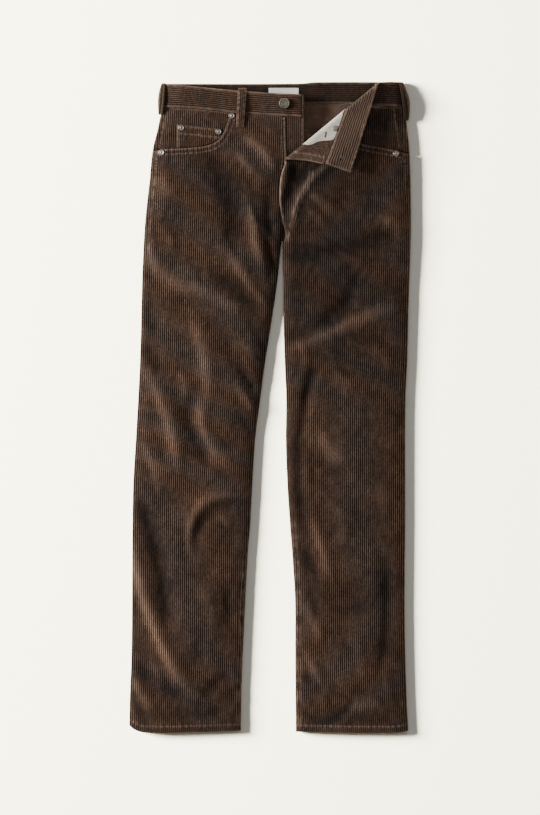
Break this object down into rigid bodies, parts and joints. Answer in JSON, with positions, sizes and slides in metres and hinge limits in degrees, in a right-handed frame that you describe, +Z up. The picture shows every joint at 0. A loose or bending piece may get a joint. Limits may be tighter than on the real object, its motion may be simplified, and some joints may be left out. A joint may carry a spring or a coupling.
{
  "type": "trousers, jeans and shorts",
  "caption": "Wide ribbed corduroy trousers laid flat, fly open with the waist corner folded back.",
  "frame": {"origin": "centre of the laid-out trousers on the surface they lie on", "axes": "+X to the wearer's left, +Y from hems to waist, +Z up off the surface, front of the trousers up"},
  "size_m": [0.4698, 1.0823, 0.0366],
  "materials": {
    "corduroy": "wide-wale cotton corduroy, soft nap",
    "pocketing": "plain cream cotton pocketing",
    "label": "smooth white tape",
    "button_metal": "antiqued dull metal",
    "rivet_metal": "antiqued dull metal",
    "zip_metal": "antiqued dull metal"
  },
  "bodies": {
    "root": {"front_right": "corduroy", "front_left": "corduroy", "front_left_corner": "corduroy", "back_right": "corduroy", "back_left": "corduroy", "yoke_right": "corduroy", "yoke_left": "corduroy", "waistband": "corduroy", "pocket_facing_right": "corduroy", "pocket_facing_left": "corduroy", "coin_pocket": "corduroy", "fly_shield_right": "corduroy", "zip_chain": "zip_metal", "zip_stop": "zip_metal", "fly_facing_left": "corduroy", "pocket_bag_left": "pocketing", "label_plain": "label", "belt_loop_front_right": "corduroy", "belt_loop_side_right": "corduroy", "belt_loop_side_left": "corduroy", "button": "button_metal", "rivet_pocket_top": "rivet_metal", "rivet_pocket_side": "rivet_metal", "rivet_coin_left": "rivet_metal", "rivet_coin_right": "rivet_metal", "rivet_pocket_left": "rivet_metal", "rivet_cap_left": "rivet_metal"}
  },
  "joints": []
}
